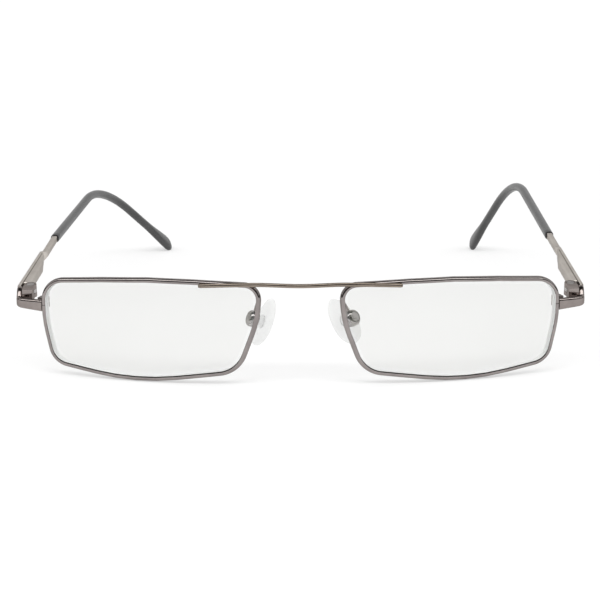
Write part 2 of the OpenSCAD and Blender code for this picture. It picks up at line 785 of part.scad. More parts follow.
// The slider: an eye on the hinge screw, a flat neck in the box's bore and a rod through the spring.
neck_end = box_front + neck_in;
collar_from = neck_end + run_gap;
spring_from = collar_from + collar_len + seat;
nut_from = spring_from + spring_len + seat;
rod_end = nut_from + nut_len + seat;
module spring_slider(side)
    color(steel)
    at_hinge(side) {
        difference() {
            union() {
                rod_z(knuckle_r, -eye_h / 2, eye_h / 2);
                block([rod_x - neck_half_w, 0, -neck_half_h], [rod_x + neck_half_w, neck_end, neck_half_h]);
                block([0, 0, -neck_half_h], [rod_x, knuckle_r, neck_half_h]);
            }
            rod_z(pin_r + pin_clear, -eye_h, eye_h);
        }
        translate([rod_x, 0, 0]) rod_y(rod_r, neck_end, rod_end);
    }

module slider_nut(side)
    color(steel)
    at_hinge(side)
    translate([rod_x, 0, 0])
    difference() {
        rod_y(nut_r, nut_from, nut_from + nut_len);
        rod_y(rod_r + seat, nut_from - past, nut_from + nut_len + past);
    }

module spring_collar(side)
    color(steel)
    at_hinge(side)
    translate([rod_x, 0, 0])
    difference() {
        rod_y(bore_r - seat, collar_from, collar_from + collar_len);
        rod_y(rod_r + pin_clear, collar_from - past, collar_from + collar_len + past);
    }

// A spring wound round the slider's rod.
turn_steps = 12;
coil_run = spring_len - 2 * spring_wire_r;
coil_path = [
    for (i = [0:spring_turns * turn_steps])
        let (t = i / turn_steps, a = 360 * t)
        [
            rod_x + spring_r * cos(a),
            spring_from + spring_wire_r + coil_run * t / spring_turns,
            spring_r * sin(a)
        ]
];
wire_sides = 6;
function coil_ring(i) =
    let (
        along = heading(coil_path, i),
        a = 360 * i / turn_steps,
        out = [cos(a), 0, sin(a)],
        side_way = cross(out, along)
    )
    [
        for (j = [0:wire_sides - 1])
            let (w = 360 * (j + 0.5) / wire_sides)
            coil_path[i] + spring_wire_r * (cos(w) * side_way * -1 + sin(w) * out)
    ];
module coil_spring(side)
    color(steel)
    at_hinge(side)
    skin([for (i = [0:len(coil_path) - 1]) coil_ring(i)]);

// The spring box with its ramped tail, on the inside of the blade.
box_round = 0.5;
box_rear = box_front + box_body;
box_tail = box_front + box_len;
tail_t = 0.3;
module box_plan()
    polygon([
        [box_in, box_front], [box_out, box_front], [box_out, box_tail],
        [box_out - tail_t, box_tail], [box_in, box_rear]
    ]);
module box_section() {
    translate([box_in + box_round, -box_half_h])
        square([box_out - box_in - box_round, 2 * box_half_h]);
    translate([box_in, box_round - box_half_h])
        square([box_round, 2 * (box_half_h - box_round)]);
    for (z = [-1, 1])
        translate([box_in + box_round, z * (box_half_h - box_round)])
            circle(r = box_round, $fn = fine);
}
module spring_box(side)
    color(gunmetal)
    at_hinge(side)
    difference() {
        intersection() {
            translate([0, 0, -box_half_h]) linear_extrude(2 * box_half_h) box_plan();
            translate([0, box_tail, 0]) rotate([90, 0, 0]) linear_extrude(box_tail - box_front) box_section();
        }
        translate([rod_x, 0, 0]) rod_y(bore_r, box_front - past, box_front + bore_len);
    }

module temple(side) color(gunmetal) at_hinge(side) skin(temple_rings(side));

module temple_tip(side) color(charcoal) at_hinge(side) skin(sleeve_rings(side));

// Pad frame: its origin is the pad's middle, X points away from the nose, Y back, Z up the pad.
pad_face = pad_t * 0.68;
pad_rear = pad_t - pad_face;
function cup_from(side) = pad_rear + cup_gap[side];
pad_pin_in = 1;
function pad_pin_x(side) = cup_from(side) + pad_pin_in;
function pad_at(side) = [pad_x[side], pad_back[side], pad_z[side]];
module at_pad(side)
    on_side(side)
    translate(pad_at(side))
    rotate([0, -pad_frontal[side], 0])
    rotate([0, 0, -pad_splay[side]])
    children();
function pad_placed(side, p) =
    let (
        b = pad_splay[side],
        x = p.x * cos(b) + p.y * sin(b),
        y = p.y * cos(b) - p.x * sin(b),
        a = pad_frontal[side]
    )
    pad_at(side) + [x * cos(a) - p.z * sin(a), y, x * sin(a) + p.z * cos(a)];

// A pad: a drop shape, wider at its foot, with a flat back and a domed face.
pad_sides = 24;
dome_steps = 6;
pad_taper = 0.16;
back_share = 0.9;
function pad_ring(x, share) = [
    for (i = [0:pad_sides - 1])
        let (t = 360 * i / pad_sides)
        [
            x,
            pad_w / 2 * share * cos(t) * (1 - pad_taper * sin(t)),
            pad_len / 2 * share * sin(t)
        ]
];
pad_waist = pad_rear * 0.25;
pad_rings = [
    pad_ring(pad_rear, back_share),
    pad_ring(mix(pad_rear, pad_waist, 0.5), mix(back_share, 1, 0.8)),
    for (i = [0:dome_steps - 1])
        let (t = 90 * i / dome_steps)
        pad_ring(pad_waist - (pad_waist + pad_face) * sin(t), pow(cos(t), 0.8))
];
module nose_pad(side)
    color(silicone)
    at_pad(side)
    difference() {
        polyhedron(
            points = [for (r = pad_rings) each r, [-pad_face, 0, 0]],
            faces = concat(
                [[for (j = [pad_sides - 1:-1:0]) j]],
                band_faces(len(pad_rings), pad_sides, 0),
                [
                    for (j = [0:pad_sides - 1])
                        let (last = (len(pad_rings) - 1) * pad_sides)
                        [last + pad_sides, last + j, last + (j + 1) % pad_sides]
                ]
            ),
            convexity = 4
        );
        translate([pad_rear - foot_t - seat, 0, 0])
            rotate([0, 90, 0])
                cylinder(r = foot_r + seat, h = foot_t + past, $fn = fine);
    }

// The pad's foot: a disc set in the silicone and an eye that stands in the cup.
module pad_foot(side)
    color(steel)
    at_pad(side)
    difference() {
        union() {
            translate([pad_rear - foot_t, 0, 0]) rotate([0, 90, 0]) cylinder(r = foot_r, h = foot_t, $fn = fine);
            block([pad_rear - foot_t / 2, -lug_w / 2, -lug_r], [pad_pin_x(side), lug_w / 2, lug_r]);
            translate([pad_pin_x(side), 0, 0]) rod_y(lug_r, -lug_w / 2, lug_w / 2);
        }
        translate([pad_pin_x(side), 0, 0]) rod_y(pad_screw_r + pin_clear, -pad_w, pad_w);
    }

// The cup: a round dish, open towards the pad, with a rounded back.
cup_round = 0.9;
cup_steps = 6;
pad_head_r = 0.5;
pad_head_h = 0.3;
pad_head_in = cup_r - 0.25;
module cup_half_section()
    polygon([
        [0, cup_len],
        for (i = [0:cup_steps])
            let (t = 90 - 90 * i / cup_steps)
            [cup_r - cup_round + cup_round * cos(t), cup_len - cup_round + cup_round * sin(t)],
        [cup_r, 0],
        [cup_r - cup_wall, 0],
        [cup_r - cup_wall, cup_len - cup_wall],
        [0, cup_len - cup_wall]
    ]);
module pad_cup(side)
    color(gunmetal)
    at_pad(side)
    difference() {
        translate([cup_from(side), 0, 0])
            rotate([0, 90, 0])
                rotate_extrude($fn = fine)
                    cup_half_section();
        translate([pad_pin_x(side), 0, 0]) rod_y(pad_screw_r + seat, -2 * cup_r, 2 * cup_r);
        translate([pad_pin_x(side), 0, 0]) rod_y(pad_head_r + seat, -2 * cup_r, -pad_head_in);
    }

module pad_screw(side)
    color(steel)
    at_pad(side)
    translate([pad_pin_x(side), 0, 0])
    difference() {
        union() {
            rod_y(pad_screw_r, -pad_head_in - seat, cup_r - seat);
            rod_y(pad_head_r, -pad_head_in - seat - pad_head_h, -pad_head_in - seat);
        }
        translate([0, -pad_head_in - seat - pad_head_h, 0])
            cube([3 * pad_head_r, slot_deep, slot_w / 1.4], center = true);
    }

// The arm: a wire from the back of the rim's nose side, round and down to the top of the cup.
arm_steps = 12;
arm_sides = 8;
arm_z = 19.2;
arm_root_x = rim_inner_x + wire_w * 0.7;
arm_root = [arm_root_x, front_y(arm_root_x, arm_z) + half_d + 6 * seat, arm_z];
arm_back = [0.2, 2.2, 0.2];
arm_over = [0.3, 0, 2.4];
function bezier(t, a, b, c, d) =
    pow(1 - t, 3) * a + 3 * pow(1 - t, 2) * t * b + 3 * (1 - t) * t * t * c + pow(t, 3) * d;
function arm_path(side) =
    let (
        top = [cup_from(side) + cup_len / 2, 0, cup_r + 5 * seat],
        end = pad_placed(side, top),
        above = pad_placed(side, top + arm_over)
    )
    [for (i = [0:arm_steps]) bezier(i / arm_steps, arm_root, arm_root + arm_back, above, end)];
arm_section =
    [for (j = [0:arm_sides - 1]) arm_r * [cos(360 * (j + 0.5) / arm_sides), sin(360 * (j + 0.5) / arm_sides)]];
module pad_arm(side)
    color(gunmetal)
    on_side(side)
    skin([for (i = [0:arm_steps]) ring_at(arm_path(side), i, arm_section)]);

rim(LEFT);  // rim_left
rim(RIGHT);  // rim_right
lens(LEFT);  // lens_left
lens(RIGHT);  // lens_right
bridge_bar();
closing_block_upper(LEFT);  // closing_block_upper_left
closing_block_upper(RIGHT);  // closing_block_upper_right
closing_block_lower(LEFT);  // closing_block_lower_left
closing_block_lower(RIGHT);  // closing_block_lower_right
rim_lock_screw(LEFT);  // rim_lock_screw_left
rim_lock_screw(RIGHT);  // rim_lock_screw_right
endpiece(LEFT);  // endpiece_left
endpiece(RIGHT);  // endpiece_right
frame_hinge(LEFT);  // frame_hinge_left
frame_hinge(RIGHT);  // frame_hinge_right
hinge_screw(LEFT);  // hinge_screw_left
hinge_screw(RIGHT);  // hinge_screw_right
spring_slider(LEFT);  // spring_slider_left
spring_slider(RIGHT);  // spring_slider_right
slider_nut(LEFT);  // slider_nut_left
slider_nut(RIGHT);  // slider_nut_right
coil_spring(LEFT);  // coil_spring_left
coil_spring(RIGHT);  // coil_spring_right
spring_collar(LEFT);  // spring_collar_left
spring_collar(RIGHT);  // spring_collar_right
spring_box(LEFT);  // spring_box_left
spring_box(RIGHT);  // spring_box_right
temple(LEFT);  // temple_left
temple(RIGHT);  // temple_right
temple_tip(LEFT);  // temple_tip_left
temple_tip(RIGHT);  // temple_tip_right
pad_arm(LEFT);  // pad_arm_left
pad_arm(RIGHT);  // pad_arm_right
pad_cup(LEFT);  // pad_cup_left
pad_cup(RIGHT);  // pad_cup_right
pad_screw(LEFT);  // pad_screw_left
pad_screw(RIGHT);  // pad_screw_right
pad_foot(LEFT);  // pad_foot_left
pad_foot(RIGHT);  // pad_foot_right
nose_pad(LEFT);  // nose_pad_left
nose_pad(RIGHT);  // nose_pad_right
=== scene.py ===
import json
import math

import bmesh
import bpy
from mathutils import Euler, Matrix, Vector


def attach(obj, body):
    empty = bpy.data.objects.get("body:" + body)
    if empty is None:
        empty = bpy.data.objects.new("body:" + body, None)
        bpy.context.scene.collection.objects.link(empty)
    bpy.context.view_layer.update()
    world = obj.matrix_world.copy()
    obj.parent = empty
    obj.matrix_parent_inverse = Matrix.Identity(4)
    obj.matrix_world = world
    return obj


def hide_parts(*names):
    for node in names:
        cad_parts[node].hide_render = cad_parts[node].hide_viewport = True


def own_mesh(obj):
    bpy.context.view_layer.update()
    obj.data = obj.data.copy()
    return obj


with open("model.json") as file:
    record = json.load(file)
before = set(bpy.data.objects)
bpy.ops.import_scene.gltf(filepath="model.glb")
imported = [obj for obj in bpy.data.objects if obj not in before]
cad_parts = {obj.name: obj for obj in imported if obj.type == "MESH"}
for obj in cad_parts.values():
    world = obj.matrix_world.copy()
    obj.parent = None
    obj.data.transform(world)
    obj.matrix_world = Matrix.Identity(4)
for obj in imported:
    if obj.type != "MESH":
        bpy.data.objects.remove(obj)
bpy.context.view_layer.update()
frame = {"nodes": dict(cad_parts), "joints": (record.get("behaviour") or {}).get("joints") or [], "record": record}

MM = 0.001
LEFT, RIGHT = 0, 1
SIDES = ("left", "right")

# Lengths are in mm. The values are the part source's, apart from step counts and the roundings of
# edges, which only the dressed model has. Where a value differs by side, the left one comes first.
# SEAT is the space left between two pieces that touch.
SEAT = 0.02

# Rims: the outline's corners and their radii, the wire's section, and the front's curve and lean
RIM_GAP, RIM_W, RIM_H = 18.2, 53.6, 26.3
NOSE_DROP, TEMPLE_DROP = 0.9, 2.0
NOSE_TOE, TEMPLE_TOE, FOOT_RISE = 5.4, 2.4, 3.4
NOSE_BELT, TEMPLE_BELT, BELT_IN = 16.6, 14.0, 0.4
NOSE_TOP_R, TEMPLE_TOP_R, NOSE_FOOT_R, TEMPLE_FOOT_R = 4.2, 6.0, 7.8, 5.3
CROWN_R, BELT_R, KEEL_R = 200.0, 30.0, 100.0
WIRE_W, WIRE_D = 1.15, 1.9
GROOVE_DEEP, GROOVE_WIDE = 0.55, 1.0
FRONT_R, FRONT_LEAN = 180.0, math.radians(4)
SPLIT_GAP, SPLIT_UP = 0.12, 17.6
INNER_SHARE, END_SHARE = 0.48, 0.95
WIRE_SHOULDER, WIRE_LIP, WIRE_ARC_STEPS = 0.6, 0.07, 18

# Lenses: the rings of a face as shares of the way out, and the bands along its edge
LENS_EDGE, FRONT_DOME, BACK_DOME, LENS_CLEAR = 1.9, 0.9, 0.4, 0.03
LENS_SHARES, FACE_REACH = (0.12, 0.26, 0.4, 0.54, 0.67, 0.78, 0.86), 0.97
BAND_WIDTHS, LEAST_SLANT = (0.7, 0.35), 0.3

# Bridge bar
BRIDGE_W, BRIDGE_H, BRIDGE_D = 48.2, 1.0, 1.0
BRIDGE_UNDER, BRIDGE_RISE, BRIDGE_DIP, BRIDGE_BOW = 1.55, 0.7, 0.25, 0.5
BRIDGE_EDGE, BRIDGE_ROUND_END, BRIDGE_TIP, BRIDGE_STEPS = 0.46, 0.35, 0.8, 90

# Endpieces and hinges
END_H, END_T, END_W, END_Z, END_R, END_RISE = 2.9, 1.4, 6.5, 16.5, 2.0, 0.45
HINGE_BACK, HINGE_UP = 15.6, 18.4
KNUCKLE_R, HINGE_H, RUN_GAP = 1.5, 3.2, 0.1
LEG_CLEAR, LEG_LOWER, END_EDGE, END_EDGE_STEPS = 0.05, 0.1, 0.62, 6

# Spring boxes: body, ramped tail and bore, the roundings, and the coil's length and travel
BOX_T, BOX_HALF_H, BOX_LEN, BOX_BODY, BOX_TAIL_T = 1.75, 1.35, 24.0, 15.5, 0.3
BORE_R, BORE_LEN = 0.62, 10.6
BOX_BEVEL, BOX_BLADE_EDGE, BOX_INNER_EDGE, BOX_EDGE_SHARE = 0.1, 0.18, 0.5, 0.45

# Temples and their tips
BLADE_T, BLADE_H, BLADE_END_H, BLADE_LEN, BLADE_STEP = 0.8, 3.2, 2.9, 26.0, 3.0
BAR_T, BAR_H, BAR_IN = 1.5, 1.8, (0.5, 0.1)
BLADE_EDGE, BAR_EDGE, BLADE_BEVEL, BEVEL_LEN = 0.22, 0.4, 0.1, 0.15
BEND_START, BEND_R, BEND_ANGLE, TIP_LEN = (81.0, 78.7), 33.0, math.radians(52.7), 23.5
KINK = (math.radians(3.2), math.radians(-0.2))
TIP_LEAN = (math.radians(31), math.radians(15.6))
SLEEVE_LEN, SLEEVE_D, PADDLE_W, PADDLE_T = 92.9, 2.3, 5.4, 2.4
CORE_THINNER, CORE_EDGE, CORE_SHORT, CORE_CLEAR = 0.2, 0.2, 9.0, 0.03
SLEEVE_POWER, HOLE_POWER = 0.85, 0.5
SLEEVE_MOUTH_AT, SLEEVE_BODY = ((0, 0.88), (0.12, 0.96), (0.4, 1.0)), 2.0
SWELL_FROM, SWELL_TO = 0.62, 0.1
NOSE_LEN, NOSE_POWER, NOSE_STEPS, NOSE_OPEN = 0.45, 0.75, 12, 0.3

# Nose pads
PAD_X, PAD_BACK, PAD_Z = (8.9, 10.4), (6.1, 5.3), (12.7, 13.1)
PAD_LEN, PAD_W, PAD_T = 12.4, 7.6, 2.6
PAD_SPLAY = (math.radians(18), math.radians(39))
PAD_FRONTAL = (math.radians(22), math.radians(32))
PAD_TAPER, BACK_SHARE, BACK_SINK, PAD_POWER, PAD_COUNT = 0.16, 0.9, 0.03, 0.8, 72
FOOT_R, FOOT_T = 1.6, 0.45
CUP_R, CUP_LEN, CUP_GAP = 2.0, 2.3, 1.2
ARM_R, ARM_Z, ARM_ROOT, ARM_STEPS = 0.45, 19.2, 0.7, 48
ARM_LEAVES, ARM_COMES = (0.2, 2.2, 0.2), (0.3, 0, 2.4)


def vec(x, y, z=0.0):
    return Vector((x, y, z))


def mix(a, b, t):
    return a + (b - a) * t


def spaced(a, b, steps):
    """Evenly spaced values after a, up to b."""
    return [mix(a, b, i / steps) for i in range(1, steps + 1)]


def ease(t):
    t = min(max(t, 0.0), 1.0)
    return t * t * (3 - 2 * t)


def arc_at_corner(a, p, b, wanted, room, step):
    """Points of the arc that rounds corner p between a and b."""
    u, v = (a - p).normalized(), (b - p).normalized()
    half = math.acos(max(-1.0, min(1.0, u.dot(v)))) / 2
    r = min(wanted, room * math.tan(half))
    start = p + u * r / math.tan(half)
    middle = p + (u + v).normalized() * r / math.sin(half)
    way = 1 if v.cross(u).z > 0 else -1
    turn = math.pi - 2 * half
    begin = math.atan2(start.y - middle.y, start.x - middle.x)
    n = max(1, math.ceil(turn / step))
    angles = [begin + way * turn * i / n for i in range(n + 1)]
    return [middle + vec(r * math.cos(t), r * math.sin(t)) for t in angles]


def rounded_path(corners, step):
    points = [vec(x, y) for x, y, r in corners]
    last = len(points) - 1
    path = [points[0]]
    for i in range(1, last):
        before = (points[i] - points[i - 1]).length * (END_SHARE if i == 1 else INNER_SHARE)
        after = (points[i + 1] - points[i]).length * (END_SHARE if i == last - 1 else INNER_SHARE)
        room = min(before, after)
        path += arc_at_corner(points[i - 1], points[i], points[i + 1], corners[i][2], room, step)
    return path + [points[last]]


def stepped_path(path, longest):
    out = []
    for a, b in zip(path, path[1:]):
        n = max(1, math.ceil((b - a).length / longest))
        out += [mix(a, b, k / n) for k in range(n)]
    return out + [path[-1]]


def heading(path, i):
    return (path[min(i + 1, len(path) - 1)] - path[max(i - 1, 0)]).normalized()


def ring_at(path, i, shape):
    """A section set square to a path, its second axis as upright as the path allows."""
    along = heading(path, i)
    right = along.cross(vec(0, 0, 1)).normalized()
    up = right.cross(along)
    return [path[i] + right * x + up * y for x, y in shape]


def rounded_box(a, b, r, steps=4):
    """Outline of a box with half sizes a and b and round corners of radius r."""
    out = []
    for sx, sy, begin in ((1, 1, 0), (-1, 1, 90), (-1, -1, 180), (1, -1, 270)):
        for i in range(steps + 1):
            t = math.radians(begin + 90 * i / steps)
            out.append((sx * (a - r) + r * math.cos(t), sy * (b - r) + r * math.sin(t)))
    return out


def round_shape(a, b, power=1.0, count=28):
    """Outline of an ellipse with half sizes a and b, squarer the lower the power is."""
    def full(v):
        return math.copysign(abs(v) ** power, v)

    angles = [2 * math.pi * (i + 0.5) / count for i in range(count)]
    return [(a * full(math.cos(t)), b * full(math.sin(t))) for t in angles]


# The part's own frames: the front with X outward, each hinge and each pad

def joint_named(name):
    return next(j for j in frame["joints"] if j["name"] == name)


def hinge_frame(side):
    fold, draw = joint_named("fold_" + SIDES[side]), joint_named("draw_" + SIDES[side])
    up = Vector(fold["axis"]).normalized()
    if up.z < 0:
        up = -up
    back = Vector(draw["axis"]).normalized()
    out = back.cross(up).normalized()
    if side == LEFT:
        out = -out
    return Vector(fold["pos_m"]) / MM, out, back, up


HINGES = [hinge_frame(side) for side in (LEFT, RIGHT)]
MIDDLE_Y = HINGE_BACK - HINGES[RIGHT][0].y
LIFT = HINGES[RIGHT][0].z - HINGE_UP


def from_front(side, p):
    return vec(-p.x if side == LEFT else p.x, p.y - MIDDLE_Y, p.z + LIFT)


def from_hinge(side, p):
    origin, out, back, up = HINGES[side]
    return origin + out * p.x + back * p.y + up * p.z


def front_from_hinge(side, p):
    """A point of the hinge frame, in the front's own frame with X outward."""
    q = from_hinge(side, p)
    return vec(-q.x if side == LEFT else q.x, q.y + MIDDLE_Y, q.z - LIFT)


def from_pad(side, p):
    b, a = PAD_SPLAY[side], PAD_FRONTAL[side]
    x, y = p.x * math.cos(b) + p.y * math.sin(b), p.y * math.cos(b) - p.x * math.sin(b)
    placed = vec(x * math.cos(a) - p.z * math.sin(a), y, x * math.sin(a) + p.z * math.cos(a))
    return vec(PAD_X[side], PAD_BACK[side], PAD_Z[side]) + placed


# Meshes

SHARP = math.radians(38)
EDGE_ROUND, CUP_ROUND, STEEL_ROUND, FOOT_ROUND = 0.05 * MM, 0.06 * MM, 0.03 * MM, 0.04 * MM
WELD = 0.0005 * MM
FLAT, ROUNDED_FROM = math.radians(1.5), math.radians(50)

BODY_OF = {
    node: body for body, nodes in frame["record"]["behaviour"]["bodies"].items() for node in nodes
}


def smooth_with_edges(bm):
    bmesh.ops.recalc_face_normals(bm, faces=bm.faces)
    for face in bm.faces:
        face.smooth = True
    for edge in bm.edges:
        edge.smooth = len(edge.link_faces) == 2 and edge.calc_face_angle(0.0) < SHARP


def new_piece(name, bm, materials, node):
    """Makes an object that stands for a CAD node and rides on that node's body."""
    mesh = bpy.data.meshes.new(name)
    bm.to_mesh(mesh)
    bm.free()
    piece = bpy.data.objects.new(name, mesh)
    bpy.context.scene.collection.objects.link(piece)
    for material in materials:
        mesh.materials.append(material)
    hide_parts(node)
    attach(piece, BODY_OF[node])
    return piece


def lofted(rings, first=None, last=None, bands=None):
    """A skin over rings of equal length; its ends are flat, or close at the point first or last."""
    bm = bmesh.new()
    rows = [[bm.verts.new(p * MM) for p in ring] for ring in rings]
    n = len(rows[0])
    for k, (a, b) in enumerate(zip(rows, rows[1:])):
        for j in range(n):
            face = bm.faces.new((a[j], a[(j + 1) % n], b[(j + 1) % n], b[j]))
            face.material_index = bands(k) if bands else 0
    for row, tip, turn in ((rows[0], first, -1), (rows[-1], last, 1)):
        if tip is None:
            bm.faces.new(row[::turn])
        else:
            point = bm.verts.new(tip * MM)
            for j in range(n):
                bm.faces.new((row[j], row[(j + 1) % n], point))
    smooth_with_edges(bm)
    return bm


def softened(node, materials, amount=EDGE_ROUND):
    """A copy of a CAD node with its sharp edges rounded, or left sharp when the amount is 0."""
    source = frame["nodes"][node]
    bm = bmesh.new()
    bm.from_mesh(source.data)
    bmesh.ops.remove_doubles(bm, verts=bm.verts, dist=WELD)
    bmesh.ops.dissolve_limit(bm, angle_limit=FLAT, verts=bm.verts, edges=bm.edges)
    if amount:
        inner = [e for e in bm.edges if len(e.link_faces) == 2]
        sharp = [e for e in inner if e.calc_face_angle(0.0) > ROUNDED_FROM]
        bmesh.ops.bevel(
            bm, geom=sharp, offset=amount, offset_type="OFFSET", segments=2, profile=0.5,
            affect="EDGES", clamp_overlap=True,
        )
    bmesh.ops.triangulate(bm, faces=[f for f in bm.faces if len(f.verts) > 4])
    for face in bm.faces:
        face.material_index = 0
    smooth_with_edges(bm)
    return new_piece("dressed_" + node, bm, materials, node)


# Materials

NOISE_ROUGHNESS, NOISE_LOW, NOISE_HIGH = 0.55, 0.3, 0.7
# Scale and detail of the noise that mottles the tone, and of the one that varies the polish
METAL_CLOUDS, SLEEVE_CLOUDS = (260.0, 4.0), (180.0, 4.0)
LENS_CLOUDS, RUBBER_CLOUDS = (30.0, 1.0), (400.0, 4.0)
SLEEVE_GRAIN, CLEAR_GRAIN, METAL_GRAIN_DETAIL = (3000.0, 3.0), (900.0, 2.0), 2.0
# Strength and depth of the bump, in metres
SLEEVE_BUMP, RUBBER_BUMP, METAL_BUMP_DEPTH = (0.12, 0.00002), (0.04, 0.00001), 0.00002
GLANCING_TINT = (0.5, 0.49, 0.48, 1)
LENS_IOR, RUBBER_IOR = 1.5, 1.41


def shader(name):
    material = bpy.data.materials.new(name)
    material.use_nodes = True
    tree = material.node_tree
    return material, tree, tree.nodes["Principled BSDF"]


def noise(tree, scale, detail):
    coords = tree.nodes.new("ShaderNodeTexCoord")
    node = tree.nodes.new("ShaderNodeTexNoise")
    node.inputs["Scale"].default_value = scale
    node.inputs["Detail"].default_value = detail
    node.inputs["Roughness"].default_value = NOISE_ROUGHNESS
    tree.links.new(coords.outputs["Object"], node.inputs["Vector"])
    return node.outputs["Fac"]


def ramp(tree, source, low, high):
    node = tree.nodes.new("ShaderNodeValToRGB")
    first, second = node.color_ramp.elements
    first.position, second.position = NOISE_LOW, NOISE_HIGH
    first.color, second.color = (*low, 1), (*high, 1)
    tree.links.new(source, node.inputs["Fac"])
    return node.outputs["Color"]


def spread(tree, source, low, high):
    node = tree.nodes.new("ShaderNodeMapRange")
    node.inputs["From Min"].default_value = NOISE_LOW
    node.inputs["From Max"].default_value = NOISE_HIGH
    node.inputs["To Min"].default_value = low
    node.inputs["To Max"].default_value = high
    tree.links.new(source, node.inputs["Value"])
    return node.outputs["Result"]


def bumped(tree, principled, source, strength, depth):
    node = tree.nodes.new("ShaderNodeBump")
    node.inputs["Strength"].default_value = strength
    node.inputs["Distance"].default_value = depth
    tree.links.new(source, node.inputs["Height"])
    tree.links.new(node.outputs["Normal"], principled.inputs["Normal"])


def mottled(name, tones, polish, clouds, grain, bump=None):
    """A material with a mottled tone and an uneven polish, and a fine grain if it has a bump."""
    material, tree, principled = shader(name)
    tree.links.new(ramp(tree, noise(tree, *clouds), *tones), principled.inputs["Base Color"])
    fine = noise(tree, *grain)
    tree.links.new(spread(tree, fine, *polish), principled.inputs["Roughness"])
    if bump:
        bumped(tree, principled, fine, *bump)
    return material, principled


def metal(name, dark, light, smooth, rough, grain=2200.0, bump=0.05):
    """Polished metal with a duller shine at a glancing angle."""
    material, principled = mottled(
        name, (dark, light), (smooth, rough), METAL_CLOUDS,
        (grain, METAL_GRAIN_DETAIL), (bump, METAL_BUMP_DEPTH),
    )
    principled.inputs["Metallic"].default_value = 1.0
    principled.inputs["Specular Tint"].default_value = GLANCING_TINT
    return material


def sleeve_plastic(name, dark, light, smooth, rough):
    return mottled(name, (dark, light), (smooth, rough), SLEEVE_CLOUDS, SLEEVE_GRAIN, SLEEVE_BUMP)[0]


def clear_lens(name, dark, light, alpha, rough=0.03):
    """Coated plastic: nearly clear, with a faint tint and a gloss. Made lighter and less clear, it is painted
    light on the lens edge.
    """
    material, principled = mottled(name, (dark, light), (rough, rough * 1.6), LENS_CLOUDS, CLEAR_GRAIN)
    principled.inputs["IOR"].default_value = LENS_IOR
    principled.inputs["Alpha"].default_value = alpha
    return material


def clear_rubber(name, dark, light, alpha, rough):
    """Clear silicone: faint, soft and slightly cloudy."""
    material, principled = mottled(
        name, (dark, light), (rough, rough * 1.5), RUBBER_CLOUDS, CLEAR_GRAIN, RUBBER_BUMP,
    )
    principled.inputs["IOR"].default_value = RUBBER_IOR
    principled.inputs["Alpha"].default_value = alpha
    return material


GUNMETAL = metal("gunmetal", (0.25, 0.225, 0.22), (0.33, 0.30, 0.29), 0.07, 0.14)
GUNMETAL_BRIGHT = metal("gunmetal_bright", (0.235, 0.205, 0.195), (0.31, 0.275, 0.26), 0.08, 0.15)
BRONZE = metal("bronzed_bar", (0.24, 0.20, 0.165), (0.32, 0.27, 0.225), 0.07, 0.14)
SATIN = metal(
    "gunmetal_satin", (0.57, 0.53, 0.49), (0.66, 0.62, 0.575), 0.295, 0.315, grain=6000.0, bump=0.012,
)
STEEL = metal("polished_steel", (0.36, 0.345, 0.34), (0.48, 0.46, 0.45), 0.05, 0.11)
SLEEVE = sleeve_plastic("sleeve", (0.032, 0.032, 0.032), (0.050, 0.050, 0.050), 0.26, 0.36)
SLEEVE_MOUTH = sleeve_plastic("sleeve_mouth", (0.010, 0.010, 0.011), (0.016, 0.016, 0.017), 0.22, 0.32)
LENS = clear_lens("lens_clear", (0.25, 0.26, 0.205), (0.29, 0.30, 0.24), 0.1)
# The lens band and the lens edge are painted light: their lighter tones stand in for the bright band that light
# refracted through the lens edge shows.
LENS_PAINTED_LIGHT_BAND = clear_lens("lens_painted_light_band", (0.40, 0.41, 0.40), (0.46, 0.47, 0.46), 0.09, 0.2)
LENS_EDGE_PAINTED_LIGHT = clear_lens("lens_edge_painted_light", (0.72, 0.73, 0.72), (0.80, 0.81, 0.80), 0.9, 0.3)
SILICONE = clear_rubber("silicone_clear", (0.58, 0.59, 0.575), (0.66, 0.67, 0.655), 0.22, 0.26)
CLEAR_PLASTIC = clear_rubber("foot_clear", (0.56, 0.57, 0.56), (0.66, 0.67, 0.66), 0.12, 0.12)


# Rims and lenses

RIM_IN = RIM_GAP / 2
RIM_OUT = RIM_IN + RIM_W
LOW_X = mix(RIM_IN, RIM_OUT, 0.57)
CROWN_X = mix(RIM_IN, RIM_OUT, 0.51)
ARC_STEP = math.radians(5)
RIM_STEP = 1.1


def front_y(x, z):
    return (x * x - LOW_X * LOW_X) / (2 * FRONT_R) + z * math.tan(FRONT_LEAN)


def front_back(x):
    return vec(-x / FRONT_R, 1, -math.tan(FRONT_LEAN)).normalized()


def rim_outline():
    outline = stepped_path(rounded_path([
        (RIM_OUT, SPLIT_UP + SPLIT_GAP / 2, 0),
        (RIM_OUT, RIM_H - TEMPLE_DROP, TEMPLE_TOP_R),
        (CROWN_X, RIM_H, CROWN_R),
        (RIM_IN, RIM_H - NOSE_DROP, NOSE_TOP_R),
        (RIM_IN + BELT_IN, NOSE_BELT, BELT_R),
        (RIM_IN + NOSE_TOE, FOOT_RISE, NOSE_FOOT_R),
        (LOW_X, 0, KEEL_R),
        (RIM_OUT - TEMPLE_TOE, FOOT_RISE, TEMPLE_FOOT_R),
        (RIM_OUT, TEMPLE_BELT, BELT_R),
        (RIM_OUT, SPLIT_UP - SPLIT_GAP / 2, 0),
    ], ARC_STEP), RIM_STEP)
    keel = min(p.y for p in outline)
    return [vec(p.x, front_y(p.x, p.y - keel), p.y - keel) for p in outline], keel


RIM_PATH, KEEL = rim_outline()
CROWN_Z, SPLIT_Z = RIM_H - KEEL, SPLIT_UP - KEEL
HALF_D, GROOVE_HALF = WIRE_D / 2, GROOVE_WIDE / 2


